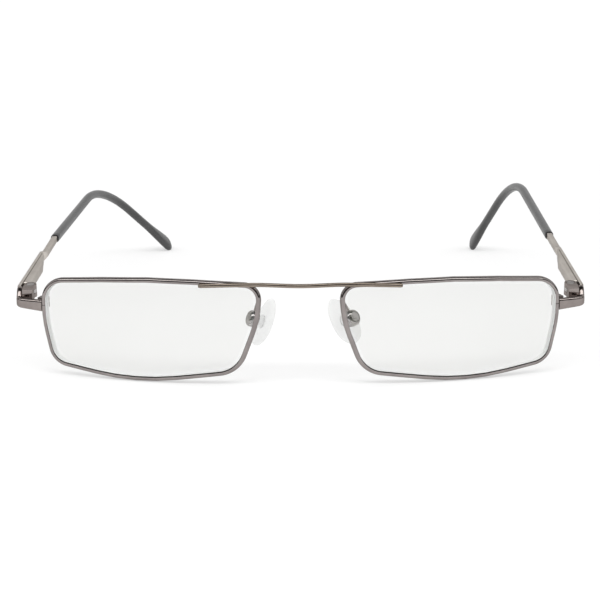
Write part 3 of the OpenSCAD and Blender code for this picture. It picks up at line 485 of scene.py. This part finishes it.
def rim_axes(i):
    inward = heading(RIM_PATH, i).cross(front_back(RIM_PATH[i].x)).normalized()
    return inward, inward.cross(heading(RIM_PATH, i))


RIM_AXES = [rim_axes(i) for i in range(len(RIM_PATH))]


def rim_point(i, n, b):
    inward, back = RIM_AXES[i]
    return RIM_PATH[i] + inward * n + back * b


def wire_profile():
    """Section of the eyewire: a round outside, flat sides and the lens groove."""
    shoulder, lip, low = WIRE_W * WIRE_SHOULDER, WIRE_LIP, WIRE_LIP * 0.3
    outside = [math.radians(-90 + 180 * i / WIRE_ARC_STEPS) for i in range(WIRE_ARC_STEPS + 1)]
    points = [(shoulder * (1 - math.cos(t)), HALF_D * math.sin(t)) for t in outside]
    points += [(WIRE_W - lip, HALF_D), (WIRE_W - low, HALF_D - low), (WIRE_W, HALF_D - lip)]
    points += [(WIRE_W, GROOVE_HALF), (WIRE_W - GROOVE_DEEP, 0), (WIRE_W, -GROOVE_HALF)]
    points += [(WIRE_W, lip - HALF_D), (WIRE_W - low, low - HALF_D), (WIRE_W - lip, -HALF_D)]
    return points


def make_rim(side):
    profile = wire_profile()
    rings = [[from_front(side, rim_point(i, n, b)) for n, b in profile] for i in range(len(RIM_PATH))]
    name = SIDES[side]
    new_piece("eyewire_" + name, lofted(rings), [GUNMETAL], "rim_" + name)


LENS_X, LENS_Z = mix(RIM_IN, RIM_OUT, 0.53), CROWN_Z * 0.48
LENS_FRONT, LENS_REAR = -LENS_EDGE * 0.42, LENS_EDGE * 0.58


def lens_point(p, k, dome):
    """The point of a domed face at the share k of the way from the lens's middle to p."""
    x, z = mix(LENS_X, p.x, k), mix(LENS_Z, p.z, k)
    return vec(x, front_y(x, z) + p.y - front_y(p.x, p.z) - dome * (1 - k * k), z)


def band_share(i, p, width):
    """Share of the way from the lens's middle to p that lies one band's width inside the edge."""
    ray = p - vec(LENS_X, p.y, LENS_Z)
    slant = ray.normalized().cross(heading(RIM_PATH, i)).length
    return 1 - width / (ray.length * max(slant, LEAST_SLANT))


def make_lens(side):
    shoulder = WIRE_W + LENS_CLEAR
    bevel = WIRE_W - GROOVE_DEEP + LENS_CLEAR * math.hypot(1, GROOVE_DEEP / GROOVE_HALF)
    half = (shoulder - bevel) * GROOVE_HALF / GROOVE_DEEP

    def edge(n, b):
        return [rim_point(i, n, b) for i in range(len(RIM_PATH))]

    def face(share, b, dome):
        return [lens_point(p, share * FACE_REACH, dome) for p in edge(shoulder, b)]

    def band(width, b, dome):
        return [lens_point(p, band_share(i, p, width), dome) for i, p in enumerate(edge(shoulder, b))]

    def middle(b, dome):
        return vec(LENS_X, front_y(LENS_X, LENS_Z) + b - dome, LENS_Z)

    rings = [face(share, LENS_REAR, BACK_DOME) for share in LENS_SHARES]
    rings += [band(width, LENS_REAR, BACK_DOME) for width in BAND_WIDTHS]
    inner = len(rings)
    rings += [edge(shoulder, LENS_REAR), edge(shoulder, half), edge(bevel, 0)]
    rings += [edge(shoulder, -half), edge(shoulder, LENS_FRONT)]
    rings += [band(width, LENS_FRONT, FRONT_DOME) for width in reversed(BAND_WIDTHS)]
    rings += [face(share, LENS_FRONT, FRONT_DOME) for share in reversed(LENS_SHARES)]
    placed = [[from_front(side, p) for p in ring] for ring in rings]

    def bands(k):
        """The edge is painted near-white light, two rows on each side of it a lighter band of painted light, and
        the rest the lens.
        """
        row = k - inner
        if 0 <= row < 4:
            return 2
        return 1 if -2 <= row < 6 else 0

    bm = lofted(
        placed, first=from_front(side, middle(LENS_REAR, BACK_DOME)),
        last=from_front(side, middle(LENS_FRONT, FRONT_DOME)), bands=bands,
    )
    name = SIDES[side]
    new_piece("clear_lens_" + name, bm, [LENS, LENS_PAINTED_LIGHT_BAND, LENS_EDGE_PAINTED_LIGHT], "lens_" + name)


# Bridge bar

def bridge_point(x):
    far = abs(2 * x / BRIDGE_W)
    free = 1 - ease(abs(x) / (RIM_IN + 2 * WIRE_W))
    z = CROWN_Z - BRIDGE_UNDER + BRIDGE_RISE * (1 - far * far) - BRIDGE_DIP * free
    y = front_y(x, z) - (HALF_D + BRIDGE_D / 2) / math.cos(FRONT_LEAN) - SEAT * 2 - BRIDGE_BOW * free
    return vec(x, y, z)


def make_bridge():
    """The bar, its ends drawn in over a short length as a rounded edge."""
    half = BRIDGE_W / 2
    path = [bridge_point(mix(-half, half, i / BRIDGE_STEPS)) for i in range(BRIDGE_STEPS + 1)]
    rings = []
    for i, point in enumerate(path):
        from_end = min(max((half - abs(point.x)) / BRIDGE_ROUND_END, 0), 1)
        k = mix(BRIDGE_TIP, 1, math.sqrt(1 - (1 - from_end) ** 2))
        shape = rounded_box(BRIDGE_D / 2 * k, BRIDGE_H / 2 * k, BRIDGE_EDGE * k)
        rings.append([from_front(RIGHT, p) for p in ring_at(path, i, shape)])
    new_piece("top_bar", lofted(rings), [BRONZE], "bridge_bar")


# Endpieces

SPLIT_TURN = math.atan(RIM_OUT / FRONT_R)
LEG_IN = KNUCKLE_R + LEG_CLEAR
LEG_MID = LEG_IN + END_T / 2
BLADE_MID = LEG_IN + END_T - BLADE_T / 2
BLADE_FRONT = -KNUCKLE_R
LEG_REAR = BLADE_FRONT - RUN_GAP
LEG_H = HINGE_H - LEG_LOWER


def endpiece_plan(side):
    """The plate seen from above: out from the rim, round the corner and back to the hinge."""
    out = vec(math.cos(SPLIT_TURN), math.sin(SPLIT_TURN))
    back = vec(-math.sin(SPLIT_TURN), math.cos(SPLIT_TURN))
    start = vec(RIM_OUT, front_y(RIM_OUT, SPLIT_Z)) + out * (SEAT * 4) + back * (HALF_D - END_T / 2)
    corner = start + out * END_W
    end = front_from_hinge(side, vec(LEG_MID, LEG_REAR, 0))
    bent = arc_at_corner(start, corner, vec(end.x, end.y), END_R, END_W * INNER_SHARE, ARC_STEP)
    plan = [mix(start, bent[0], k / 4) for k in range(4)] + bent
    plan += spaced(bent[-1], vec(end.x, end.y), 10)
    return start, corner, plan, bent[-1].y, end


def make_endpiece(side):
    start, corner, plan, corner_y, end = endpiece_plan(side)
    path, halves = [], []
    for p in plan:
        up = ease((p.y - corner_y) / (end.y - corner_y))
        out = min(max((p.x - start.x) / (corner.x - start.x), 0), 1)
        path.append(vec(p.x, p.y, mix(END_Z + END_RISE / 2 * out, end.z, up)))
        halves.append(mix(END_H - END_RISE * out, LEG_H, up) / 2)
    rings = []
    for i in range(len(path) - 1):
        shape = rounded_box(END_T / 2, halves[i], END_EDGE, END_EDGE_STEPS)
        rings.append([from_front(side, p) for p in ring_at(path, i, shape)])
    leg_end = rounded_box(END_T / 2, LEG_H / 2, END_EDGE, END_EDGE_STEPS)
    rings.append([from_hinge(side, vec(LEG_MID + x, LEG_REAR, z)) for x, z in leg_end])
    name = SIDES[side]
    bm = lofted(rings)
    new_piece("end_plate_" + name, bm, [GUNMETAL_BRIGHT], "endpiece_" + name)


# Temples and tips

BEND_LEN = BEND_R * BEND_ANGLE
CORE_T = BLADE_T - CORE_THINNER
CORE_H = CORE_T * 2


def arm_end(side):
    return BEND_START[side] + BEND_LEN + TIP_LEN


SLEEVE_START = [arm_end(side) - SLEEVE_LEN for side in (LEFT, RIGHT)]


def drop_dir(lean):
    return vec(-math.sin(lean), 0, -math.cos(lean))


def arm_point(s, side):
    """The temple's middle at the length s behind the hinge, and how far it has bent down there."""
    a = min(max(s - BEND_START[side], 0) / BEND_R, BEND_ANGLE)
    rest = max(s - BEND_START[side] - BEND_LEN, 0)
    back = min(s, BEND_START[side]) + BEND_R * math.sin(a) + rest * math.cos(a)
    drop = BEND_R * (1 - math.cos(a)) + rest * math.sin(a)
    inward = BAR_IN[side] * ease((s - BLADE_LEN) / BLADE_STEP)
    inward += math.tan(KINK[side]) * max(back - SLEEVE_START[side], 0)
    return vec(BLADE_MID - inward, back, 0) + drop_dir(TIP_LEAN[side]) * drop, a


def arm_ring(s, side, shape):
    point, a = arm_point(s, side)
    r = TIP_LEAN[side] * ease((s - SLEEVE_START[side]) / (BEND_START[side] - SLEEVE_START[side]))
    across = vec(math.cos(r), 0, -math.sin(r))
    up = vec(0, math.sin(a), 0) - drop_dir(r) * math.cos(a)
    return [from_hinge(side, point + across * x + up * y) for x, y in shape]


def blade_shape(s, lip):
    k = ease((s - BLADE_LEN) / BLADE_STEP)
    if s > BLADE_LEN:
        height = mix(BLADE_END_H, BAR_H, k)
    else:
        height = mix(BLADE_H, BLADE_END_H, max(s, 0) / BLADE_LEN)
    edge = mix(BLADE_EDGE, BAR_EDGE, k)
    return rounded_box(mix(BLADE_T, BAR_T, k) / 2 - lip, height / 2 - lip, edge)


def make_temple(side):
    start = SLEEVE_START[side]
    core_end = arm_end(side) - CORE_SHORT
    bevelled = BLADE_FRONT + BEVEL_LEN
    bar_from = BLADE_LEN + BLADE_STEP
    places = [bevelled] + spaced(bevelled, BLADE_LEN, 14)
    places += spaced(BLADE_LEN, bar_from, 12) + spaced(bar_from, start - SEAT, 6)
    rings = [arm_ring(BLADE_FRONT, side, blade_shape(BLADE_FRONT, BLADE_BEVEL))]
    rings += [arm_ring(s, side, blade_shape(s, 0.0)) for s in places]
    core = rounded_box(CORE_T / 2, CORE_H / 2, CORE_EDGE)
    rings += [arm_ring(s, side, core) for s in [start] + spaced(start, core_end, 40)]
    name = SIDES[side]
    new_piece("arm_" + name, lofted(rings), [SATIN], "temple_" + name)


def make_tip(side):
    start, end = SLEEVE_START[side], arm_end(side)
    nose = PADDLE_W * NOSE_LEN
    core_end = end - CORE_SHORT + CORE_CLEAR * 2
    swell_from, swell_to = end - TIP_LEN * SWELL_FROM, end - TIP_LEN * SWELL_TO

    def outer(s, share=1.0):
        k = ease((s - swell_from) / (swell_to - swell_from))
        thick, wide = mix(SLEEVE_D, PADDLE_T, k), mix(SLEEVE_D, PADDLE_W, k)
        return round_shape(thick / 2 * share, wide / 2 * share, SLEEVE_POWER)

    hole = round_shape(CORE_T / 2 + CORE_CLEAR, CORE_H / 2 + CORE_CLEAR, HOLE_POWER)
    rings = [arm_ring(s, side, hole) for s in [core_end] + spaced(core_end, start, 50)]
    rings += [arm_ring(start + on, side, outer(start, share)) for on, share in SLEEVE_MOUTH_AT]
    mouth_to = len(rings)
    body = start + SLEEVE_BODY
    rings += [arm_ring(s, side, outer(s)) for s in [body] + spaced(body, end - nose, 110)]
    for i in range(1, NOSE_STEPS + 1):
        t = math.pi / 2 * i / (NOSE_STEPS + NOSE_OPEN)
        s, share = end - nose + nose * math.sin(t), math.cos(t) ** NOSE_POWER
        rings.append(arm_ring(s, side, outer(end, share)))

    def bands(k):
        return 1 if k < mouth_to else 0

    name = SIDES[side]
    bm = lofted(rings, bands=bands)
    new_piece("sleeve_" + name, bm, [SLEEVE, SLEEVE_MOUTH], "temple_tip_" + name)


# Nose pads

PAD_FACE = PAD_T * 0.68
PAD_REAR = PAD_T - PAD_FACE
PAD_WAIST = PAD_REAR * 0.25
PAD_ANGLES = [2 * math.pi * i / PAD_COUNT for i in range(PAD_COUNT)]


def pad_ring(side, x, share):
    """The pad's outline, wider at the bottom than at the top."""
    ring = []
    for t in PAD_ANGLES:
        y = PAD_W / 2 * share * math.cos(t) * (1 - PAD_TAPER * math.sin(t))
        ring.append(from_front(side, from_pad(side, vec(x, y, PAD_LEN / 2 * share * math.sin(t)))))
    return ring


def make_pad(side):
    """The pad, from the recess for its foot over the back and round the edge to the domed face."""
    def placed(x, y, z):
        return from_front(side, from_pad(side, vec(x, y, z)))

    def round_ring(x, r):
        return [placed(x, r * math.cos(t), r * math.sin(t)) for t in PAD_ANGLES]

    floor = PAD_REAR - FOOT_T - SEAT
    mouth = round_ring(PAD_REAR, FOOT_R + SEAT)
    back = pad_ring(side, PAD_REAR, BACK_SHARE - BACK_SINK)
    rings = [round_ring(floor, FOOT_R * 0.5), round_ring(floor, FOOT_R), mouth]
    rings += [[mix(a, b, i / 4) for a, b in zip(mouth, back)] for i in range(1, 4)] + [back]
    steps = 6
    for i in range(steps + 1):
        t = math.pi / 2 * i / steps
        x = mix(PAD_REAR, PAD_WAIST, 1 - math.cos(t))
        rings.append(pad_ring(side, x, mix(BACK_SHARE, 1, math.sin(t))))
    steps = 16
    for i in range(1, steps):
        t = math.pi / 2 * i / steps
        x = PAD_WAIST - (PAD_WAIST + PAD_FACE) * math.sin(t)
        rings.append(pad_ring(side, x, math.cos(t) ** PAD_POWER))
    name = SIDES[side]
    bm = lofted(rings, first=placed(floor, 0, 0), last=placed(-PAD_FACE, 0, 0))
    new_piece("clear_pad_" + name, bm, [SILICONE], "nose_pad_" + name)


def make_pad_arm(side):
    root_x = RIM_IN + WIRE_W * ARM_ROOT
    root = vec(root_x, front_y(root_x, ARM_Z) + HALF_D + SEAT * 6, ARM_Z)
    top = vec(PAD_REAR + CUP_GAP + CUP_LEN / 2, 0, CUP_R + 5 * SEAT)
    end, above = from_pad(side, top), from_pad(side, top + vec(*ARM_COMES))

    def curve(t):
        a, b, c, d = root, root + vec(*ARM_LEAVES), above, end
        return a * (1 - t) ** 3 + b * (3 * (1 - t) ** 2 * t) + c * (3 * (1 - t) * t * t) + d * t ** 3

    path = [curve(i / ARM_STEPS) for i in range(ARM_STEPS + 1)]
    shape = round_shape(ARM_R, ARM_R, count=20)
    rings = [[from_front(side, p) for p in ring_at(path, i, shape)] for i in range(len(path))]
    name = SIDES[side]
    bm = lofted(rings)
    new_piece("pad_wire_" + name, bm, [GUNMETAL_BRIGHT], "pad_arm_" + name)


# Spring boxes and small parts

def make_spring_box(side):
    """The box behind the hinge: bored at the front, ramped at the tail, round on its inner side."""
    out_x = BLADE_MID - BLADE_T / 2 - SEAT
    in_x = out_x - BOX_T
    rod_x = (in_x + out_x) / 2
    begin = KNUCKLE_R + RUN_GAP * 1.5
    rear, tail = begin + BOX_BODY, begin + BOX_LEN

    def section(y, trim=0.0):
        ramp_in = mix(in_x, out_x - BOX_TAIL_T, min(max((y - rear) / (tail - rear), 0), 1))
        most = (out_x - ramp_in) * BOX_EDGE_SHARE
        near, far = min(BOX_INNER_EDGE, most), min(BOX_BLADE_EDGE, most)
        corners = (
            (out_x - far, 1, far, 0), (ramp_in + near, 1, near, 90),
            (ramp_in + near, -1, near, 180), (out_x - far, -1, far, 270),
        )
        shape = []
        for mid_x, sz, r, start in corners:
            mid_z = sz * (BOX_HALF_H - r)
            for i in range(7):
                t = math.radians(start + 15 * i)
                shape.append((mid_x + (r - trim) * math.cos(t), mid_z + (r - trim) * math.sin(t)))
        return [from_hinge(side, vec(x, y, z)) for x, z in shape]

    def bore(y):
        return [from_hinge(side, vec(rod_x + x, y, z)) for x, z in round_shape(BORE_R, BORE_R)]

    bevelled = begin + BOX_BEVEL
    rings = [bore(begin + BORE_LEN), bore(begin), section(begin, BOX_BEVEL), section(bevelled)]
    rings += [section(y) for y in spaced(bevelled, rear, 8) + spaced(rear, tail, 12)]
    name = SIDES[side]
    bm = lofted(rings, first=from_hinge(side, vec(rod_x, begin + BORE_LEN, 0)))
    new_piece("spring_case_" + name, bm, [SATIN], "spring_box_" + name)


def coil_front(side):
    """The coil's end by the hinge, which stays still while the nut presses on the other end."""
    coil = frame["nodes"]["coil_spring_" + SIDES[side]]
    origin, back = HINGES[side][0], HINGES[side][2]
    near = min(((coil.matrix_world @ v.co) / MM - origin).dot(back) for v in coil.data.vertices)
    return origin + back * near


def dress_small_parts(side):
    name = SIDES[side]
    for node in ("closing_block_upper_", "closing_block_lower_", "frame_hinge_"):
        softened(node + name, [GUNMETAL_BRIGHT])
    softened("pad_cup_" + name, [STEEL], CUP_ROUND)
    screws = ("rim_lock_screw_", "hinge_screw_", "pad_screw_")
    for node in screws + ("spring_slider_", "slider_nut_", "spring_collar_"):
        softened(node + name, [STEEL], STEEL_ROUND)
    coil = softened("coil_spring_" + name, [STEEL], 0)
    back, steady = HINGES[side][2], coil_front(side) * MM
    tuple(back)
    tuple(steady)
    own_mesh(coil)
    softened("pad_foot_" + name, [CLEAR_PLASTIC], FOOT_ROUND)


make_bridge()
for each in (LEFT, RIGHT):
    make_rim(each)
    make_lens(each)
    make_endpiece(each)
    make_temple(each)
    make_tip(each)
    make_pad(each)
    make_pad_arm(each)
    make_spring_box(each)
    dress_small_parts(each)


# Stage: floor, surroundings, lamps and camera, in metres except where a name says pixels or mm

FLOOR_HALF, FLOOR_DROP = 6.0, 0.00002
FLOOR_TONE, FLOOR_TONE_SEEN = 0.85, 0.42
# The seen floor's own light: from this far to this far out, from this level to this one
FLOOR_GLOW = (0.12, 0.6, 0.47, 0.70)

# How light the room is along Y, from the camera's side to the back, and along Z, upward
ROOM_DEPTH = ((-1.0, 0.02), (-0.75, 0.02), (-0.3, 0.04), (0.4, 0.05), (0.62, 0.9), (0.97, 0.95))
ROOM_HEIGHT = ((-1.0, 0.5), (0.0, 0.0))
AMBIENT = 0.8

# Name, place, what it points at, size and watts
LAMPS = (
    ("strip", (0, -0.33, 0.65), (0, 0.0, 0.02), (1.6, 0.28), 4.6),
    ("side_left", (-0.8, -0.1, 0.45), (0, 0, 0.01), (0.6, 0.6), 1.0),
    ("side_right", (0.8, -0.1, 0.45), (0, 0, 0.01), (0.6, 0.6), 1.0),
)

PICTURE_PX, MIDDLE_PX, FOCAL_PX = 600, 300.5, 1657.3
PITCH, ROLL = math.radians(15.1), math.radians(0.18)
CAMERA_BEHIND_MM, CAMERA_UP_MM = 380.8, 122.6
SENSOR_MM = 36.0


def grey(level):
    return level, level, level, 1


def seen_directly(nodes, links, others):
    """A value that is 1 for camera rays and for the other kinds named, and 0 for the rest."""
    path = nodes.new("ShaderNodeLightPath")
    total = path.outputs["Is Camera Ray"]
    for name in others:
        adding = nodes.new("ShaderNodeMath")
        adding.operation = "MAXIMUM"
        links.new(total, adding.inputs[0])
        links.new(path.outputs[name], adding.inputs[1])
        total = adding.outputs[0]
    return total


def make_floor():
    """A plane with a light of its own where it is seen or mirrored, and plain for soft light."""
    bm = bmesh.new()
    bmesh.ops.create_grid(bm, x_segments=1, y_segments=1, size=FLOOR_HALF)
    mesh = bpy.data.meshes.new("floor")
    bm.to_mesh(mesh)
    bm.free()
    floor = bpy.data.objects.new("floor", mesh)
    floor.location = (0, 0, -FLOOR_DROP)
    bpy.context.scene.collection.objects.link(floor)
    material = bpy.data.materials.new("pale_floor")
    material.use_nodes = True
    tree = material.node_tree
    nodes, links = tree.nodes, tree.links
    nodes.remove(nodes["Principled BSDF"])
    plain = nodes.new("ShaderNodeBsdfDiffuse")
    plain.inputs["Color"].default_value = grey(FLOOR_TONE)
    shaded = nodes.new("ShaderNodeBsdfDiffuse")
    shaded.inputs["Color"].default_value = grey(FLOOR_TONE_SEEN)
    glow = nodes.new("ShaderNodeEmission")
    coords = nodes.new("ShaderNodeTexCoord")
    away = nodes.new("ShaderNodeVectorMath")
    away.operation = "LENGTH"
    links.new(coords.outputs["Object"], away.inputs[0])
    level = nodes.new("ShaderNodeMapRange")
    for name, value in zip(("From Min", "From Max", "To Min", "To Max"), FLOOR_GLOW):
        level.inputs[name].default_value = value
    links.new(away.outputs["Value"], level.inputs["Value"])
    links.new(level.outputs["Result"], glow.inputs["Strength"])
    white = nodes.new("ShaderNodeAddShader")
    links.new(shaded.outputs[0], white.inputs[0])
    links.new(glow.outputs[0], white.inputs[1])
    both = nodes.new("ShaderNodeMixShader")
    links.new(seen_directly(nodes, links, ("Is Glossy Ray", "Is Transmission Ray")), both.inputs["Fac"])
    links.new(plain.outputs[0], both.inputs[1])
    links.new(white.outputs[0], both.inputs[2])
    links.new(both.outputs[0], nodes["Material Output"].inputs["Surface"])
    mesh.materials.append(material)


def make_world():
    """White where it is seen directly and an even grey for soft light.

    In mirrors it is a room that is dark round the camera and bright at the back.
    """
    world = bpy.data.worlds.new("studio")
    bpy.context.scene.world = world
    world.use_nodes = True
    nodes, links = world.node_tree.nodes, world.node_tree.links
    background = nodes["Background"]
    coords = nodes.new("ShaderNodeTexCoord")
    parts = nodes.new("ShaderNodeSeparateXYZ")
    links.new(coords.outputs["Generated"], parts.inputs["Vector"])

    def room(axis, stops):
        shift = nodes.new("ShaderNodeMapRange")
        shift.inputs["From Min"].default_value = -1.0
        links.new(parts.outputs[axis], shift.inputs["Value"])
        curve = nodes.new("ShaderNodeValToRGB")
        steps = curve.color_ramp.elements
        while len(steps) < len(stops):
            steps.new(0.5)
        for step, (place, level) in zip(steps, stops):
            step.position = (place + 1) / 2
            step.color = grey(level)
        links.new(shift.outputs["Result"], curve.inputs["Fac"])
        return curve.outputs["Color"]

    lighter = nodes.new("ShaderNodeMixRGB")
    lighter.blend_type = "LIGHTEN"
    lighter.inputs["Fac"].default_value = 1.0
    links.new(room("Y", ROOM_DEPTH), lighter.inputs["Color1"])
    links.new(room("Z", ROOM_HEIGHT), lighter.inputs["Color2"])
    even = nodes.new("ShaderNodeMixRGB")
    path = nodes.new("ShaderNodeLightPath")
    links.new(path.outputs["Is Diffuse Ray"], even.inputs["Fac"])
    links.new(lighter.outputs["Color"], even.inputs["Color1"])
    even.inputs["Color2"].default_value = grey(AMBIENT)
    whole = nodes.new("ShaderNodeMixRGB")
    links.new(seen_directly(nodes, links, ("Is Transmission Ray",)), whole.inputs["Fac"])
    links.new(even.outputs["Color"], whole.inputs["Color1"])
    whole.inputs["Color2"].default_value = grey(1)
    links.new(whole.outputs["Color"], background.inputs["Color"])


def make_lamp(name, place, target, size, watts):
    data = bpy.data.lights.new(name, "AREA")
    data.shape = "RECTANGLE"
    data.size, data.size_y = size
    data.energy = watts
    lamp = bpy.data.objects.new(name, data)
    lamp.location = place
    lamp.rotation_euler = (Vector(target) - Vector(place)).to_track_quat("-Z", "Y").to_euler()
    bpy.context.scene.collection.objects.link(lamp)


def make_camera():
    data = bpy.data.cameras.new("camera")
    data.sensor_fit = "HORIZONTAL"
    data.sensor_width = SENSOR_MM
    data.lens = FOCAL_PX / PICTURE_PX * SENSOR_MM
    data.shift_x = (PICTURE_PX / 2 - MIDDLE_PX) / PICTURE_PX
    data.clip_start, data.clip_end = 0.01, 50
    data.dof.use_dof = False
    camera = bpy.data.objects.new("camera", data)
    camera.location = (0, -(CAMERA_BEHIND_MM + MIDDLE_Y) * MM, CAMERA_UP_MM * MM)
    level = Euler((math.pi / 2 - PITCH, 0, 0)).to_matrix()
    camera.rotation_euler = (level @ Matrix.Rotation(-ROLL, 3, "Z")).to_euler()
    bpy.context.scene.collection.objects.link(camera)
    bpy.context.scene.camera = camera


make_floor()
make_world()
for lamp in LAMPS:
    make_lamp(*lamp)
make_camera()

bpy.context.scene.view_settings.view_transform = "Standard"
